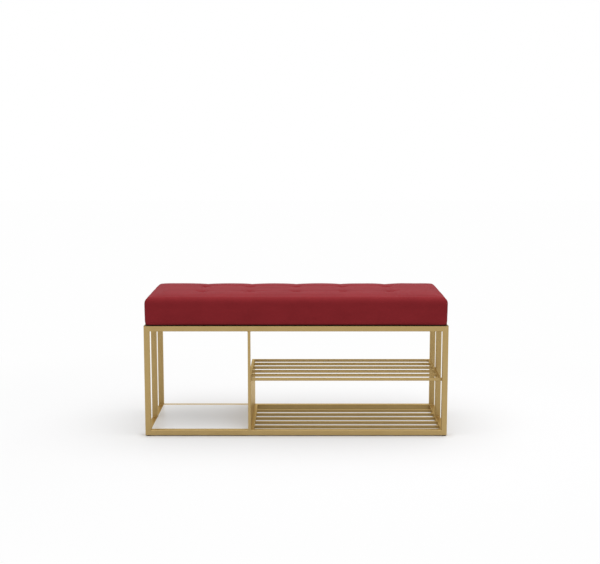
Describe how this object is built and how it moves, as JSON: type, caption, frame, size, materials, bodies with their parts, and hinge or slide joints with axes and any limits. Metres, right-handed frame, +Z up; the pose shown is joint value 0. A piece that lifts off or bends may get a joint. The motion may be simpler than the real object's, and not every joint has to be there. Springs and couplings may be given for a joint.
{
  "type": "shoe rack bench",
  "caption": "Long low bench with a tufted seat cushion on an open square-tube frame, with a tall boot bay beside a divider and two racks of bars for shoes.",
  "frame": {"origin": "on the floor, under the middle of the bench", "axes": "+X along the length towards the end with the racks, +Y from the front to the back, +Z up"},
  "size_m": [1.1, 0.4, 0.5142],
  "materials": {
    "gold_frame": "satin gold metallic paint on welded steel square tube",
    "white_panel": "satin white laminate",
    "red_upholstery": "short-pile wine red velvet over foam, pulled down at sewn tufts",
    "plywood_board": "raw birch plywood, covered from below",
    "black_glides": "plain black",
    "zinc_screws": "zinc plated"
  },
  "bodies": {
    "root": {"front_bottom_rail": "gold_frame", "front_top_rail": "gold_frame", "front_left_post": "gold_frame", "front_right_post": "gold_frame", "rear_bottom_rail": "gold_frame", "rear_top_rail": "gold_frame", "rear_left_post": "gold_frame", "rear_right_post": "gold_frame", "left_bottom_rail": "gold_frame", "left_top_rail": "gold_frame", "left_middle_post": "gold_frame", "right_bottom_rail": "gold_frame", "right_top_rail": "gold_frame", "right_middle_post": "gold_frame", "divider_bottom_rail": "gold_frame", "divider_front_post": "gold_frame", "divider_rear_post": "gold_frame", "divider_sheet": "gold_frame", "lower_rack_bar_1": "gold_frame", "lower_rack_bar_2": "gold_frame", "lower_rack_bar_3": "gold_frame", "lower_rack_bar_4": "gold_frame", "lower_rack_bar_5": "gold_frame", "upper_rack_left_rail": "gold_frame", "upper_rack_right_rail": "gold_frame", "upper_rack_bar_1": "gold_frame", "upper_rack_bar_2": "gold_frame", "upper_rack_bar_3": "gold_frame", "upper_rack_bar_4": "gold_frame", "upper_rack_bar_5": "gold_frame", "upper_rack_bar_6": "gold_frame", "bay_tab_1": "gold_frame", "bay_tab_2": "gold_frame", "bay_tab_3": "gold_frame", "bay_tab_4": "gold_frame", "seat_tab_1": "gold_frame", "seat_tab_2": "gold_frame", "seat_tab_3": "gold_frame", "seat_tab_4": "gold_frame", "seat_tab_5": "gold_frame", "seat_tab_6": "gold_frame", "bay_screw_1": "zinc_screws", "bay_screw_2": "zinc_screws", "bay_screw_3": "zinc_screws", "bay_screw_4": "zinc_screws", "seat_screw_1": "zinc_screws", "seat_screw_2": "zinc_screws", "seat_screw_3": "zinc_screws", "seat_screw_4": "zinc_screws", "seat_screw_5": "zinc_screws", "seat_screw_6": "zinc_screws", "front_left_glide": "black_glides", "front_right_glide": "black_glides", "rear_left_glide": "black_glides", "rear_right_glide": "black_glides", "bay_floor_panel": "white_panel", "seat_cushion": "red_upholstery", "seat_board": "plywood_board"}
  },
  "joints": []
}
